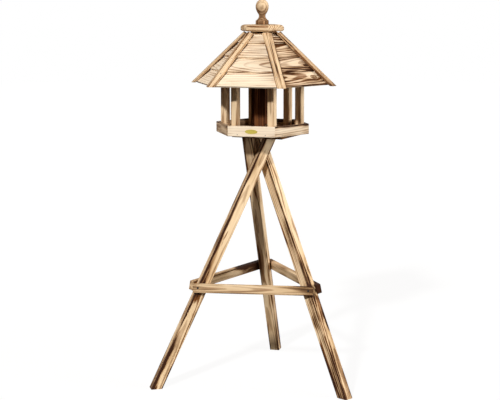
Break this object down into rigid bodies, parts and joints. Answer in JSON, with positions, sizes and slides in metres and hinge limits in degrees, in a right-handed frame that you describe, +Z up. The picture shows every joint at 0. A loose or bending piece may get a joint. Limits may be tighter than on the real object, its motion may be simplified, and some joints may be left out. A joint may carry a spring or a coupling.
{
  "type": "bird feeder",
  "caption": "Free-standing wooden bird feeder: a six-sided open house with a lapped hipped roof and central seed silo on a twisted, braced tripod stand.",
  "frame": {"origin": "centre of the three feet's outline, on the ground", "axes": "+Z up; -Y is the front of the house, where the plaque is; +X is the house's right seen from the front"},
  "size_m": [0.663, 0.6026, 1.2499],
  "materials": {
    "leg_wood": "flamed pine, bare",
    "brace_wood": "flamed pine, bare",
    "plate_wood": "dark scorched pine, bare",
    "floor_wood": "planed pine, bare",
    "tray_wood": "flamed pine, bare",
    "post_wood": "flamed pine, bare",
    "silo_wood": "flamed pine, bare",
    "rafter_wood": "sawn pine, bare",
    "board_wood": "flamed pine, bare",
    "lath_wood": "flamed pine, bare",
    "cap_wood": "flamed pine, bare",
    "plug_wood": "planed pine, bare",
    "knob_wood": "turned pine, bare",
    "dowel_beech": "turned beech, bare",
    "screw_steel": "dark zinc-plated",
    "nail_steel": "bright",
    "plaque_yellow": "satin, bare"
  },
  "bodies": {
    "feeder": {"leg_left": "leg_wood", "leg_right": "leg_wood", "leg_back": "leg_wood", "brace_front": "brace_wood", "brace_right": "brace_wood", "brace_left": "brace_wood", "brace_screws": "screw_steel", "cross_dowels": "dowel_beech", "mounting_plate": "plate_wood", "leg_screws": "screw_steel", "plate_screws": "screw_steel", "floor": "floor_wood", "tray_board_front": "tray_wood", "tray_board_front_right": "tray_wood", "tray_board_back_right": "tray_wood", "tray_board_back": "tray_wood", "tray_board_back_left": "tray_wood", "tray_board_front_left": "tray_wood", "tray_nails": "nail_steel", "plaque": "plaque_yellow", "post_1": "post_wood", "post_2": "post_wood", "post_3": "post_wood", "post_4": "post_wood", "post_5": "post_wood", "post_6": "post_wood", "post_screws": "screw_steel", "silo_stave_front": "silo_wood", "silo_stave_front_right": "silo_wood", "silo_stave_back_right": "silo_wood", "silo_stave_back": "silo_wood", "silo_stave_back_left": "silo_wood", "silo_stave_front_left": "silo_wood", "rafter_1": "rafter_wood", "rafter_2": "rafter_wood", "rafter_3": "rafter_wood", "rafter_4": "rafter_wood", "rafter_5": "rafter_wood", "rafter_6": "rafter_wood", "roof_boards_front": "board_wood", "roof_boards_front_right": "board_wood", "roof_boards_back_right": "board_wood", "roof_boards_back": "board_wood", "roof_boards_back_left": "board_wood", "roof_boards_front_left": "board_wood", "hip_laths_1": "lath_wood", "hip_laths_2": "lath_wood", "hip_laths_3": "lath_wood", "hip_laths_4": "lath_wood", "hip_laths_5": "lath_wood", "hip_laths_6": "lath_wood", "lath_nails": "nail_steel"},
    "cap": {"roof_cap": "cap_wood", "cap_plug": "plug_wood", "knob": "knob_wood", "knob_screw": "screw_steel"}
  },
  "joints": [
    {"name": "cap_lift", "type": "slide", "parent": "feeder", "child": "cap", "axis": [0, 0, 1], "range_m": [0, 0.15]}
  ]
}
